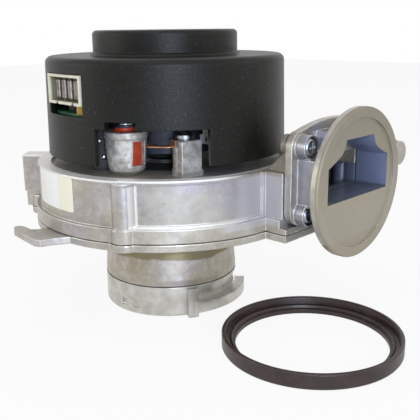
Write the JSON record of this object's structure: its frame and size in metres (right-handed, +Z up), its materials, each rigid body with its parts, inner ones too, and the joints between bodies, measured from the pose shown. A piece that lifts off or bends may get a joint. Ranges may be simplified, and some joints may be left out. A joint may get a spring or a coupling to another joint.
{
  "type": "premix boiler fan",
  "caption": "Radial fan for a premix boiler: die-cast scroll, closed impeller, electronic motor under a moulded cap, bayonet inlet, round outlet flange and a loose seal ring.",
  "frame": {"origin": "on the motor axis at the foot of the inlet collar, which is the plane that the fan stands on", "axes": "+Z up the motor axis, from the inlet to the cap's hub; +X out of the round outlet face; the outlet's centre lies at +Y"},
  "size_m": [0.1913, 0.1498, 0.1296],
  "materials": {
    "casting": "die-cast, matte, stained",
    "machined": "turned, satin",
    "sheet_alu": "pressed sheet, satin",
    "cap_plastic": "moulded, fine grain",
    "dark_bracket": "dark blue-black coating",
    "isolator_rubber": "silicone, satin",
    "seal_rubber": "semi-gloss",
    "gasket": "matte",
    "zinc": "bright zinc",
    "steel": "ground",
    "laminations": "oiled laminations",
    "magnet": "sintered ferrite",
    "copper": "copper, slightly dull",
    "board": "green solder mask",
    "ivory": "moulded, satin",
    "dark_plastic": "moulded",
    "sleeve": "shrink sleeve",
    "yellow_tape": "polyester tape",
    "cage": "stamped"
  },
  "bodies": {
    "fan_body": {"upper_housing": "casting", "lower_cover": "casting", "bayonet_ring": "machined", "inlet_nozzle": "dark_plastic", "housing_gasket": "gasket", "cover_screws": "zinc", "outlet_gasket": "gasket", "outlet_adapter": "casting", "adapter_screws": "zinc", "shaft_seal": "gasket", "isolator_grommets": "isolator_rubber", "isolator_sleeves": "steel", "isolator_screws": "zinc", "earth_strap": "copper", "earth_screw": "zinc", "motor_bracket": "dark_bracket", "lower_bearing_outer": "steel", "stator_core": "laminations", "slot_insulators": "ivory", "stator_coils": "copper", "upper_bracket": "dark_bracket", "upper_bearing_outer": "steel", "motor_bolts": "zinc", "board_pillars": "dark_plastic", "circuit_board": "board", "control_header": "ivory", "header_contacts": "zinc", "filter_choke": "yellow_tape", "capacitors": "sleeve", "heat_sink": "machined", "power_transistors": "dark_plastic", "driver_chip": "dark_plastic", "motor_cap": "cap_plastic"},
    "rotor": {"shaft": "steel", "rotor_core": "laminations", "rotor_magnets": "magnet", "lower_bearing_inner": "steel", "upper_bearing_inner": "steel", "impeller_backplate": "sheet_alu", "impeller_blades": "sheet_alu", "impeller_shroud": "sheet_alu", "impeller_nut": "zinc"},
    "lower_cage": {"lower_bearing_cage": "cage"},
    "upper_cage": {"upper_bearing_cage": "cage"},
    "seal": {"seal_ring": "seal_rubber"}
  },
  "joints": [
    {"name": "rotor_spin", "type": "hinge", "parent": "fan_body", "child": "rotor", "pos_m": [0, 0, 0.09], "axis": [0, 0, 1], "continuous": true},
    {"name": "lower_cage_spin", "type": "hinge", "parent": "fan_body", "child": "lower_cage", "pos_m": [0, 0, 0.0775], "axis": [0, 0, 1], "continuous": true},
    {"name": "upper_cage_spin", "type": "hinge", "parent": "fan_body", "child": "upper_cage", "pos_m": [0, 0, 0.1158], "axis": [0, 0, 1], "continuous": true},
    {"name": "seal_slide", "type": "slide", "parent": "fan_body", "child": "seal", "axis": [1, 0, 0], "range_m": [0, 0.06]}
  ],
  "couplings": [
    {"joint": "lower_cage_spin", "follows": "rotor_spin", "ratio": 0.37},
    {"joint": "upper_cage_spin", "follows": "rotor_spin", "ratio": 0.37}
  ]
}
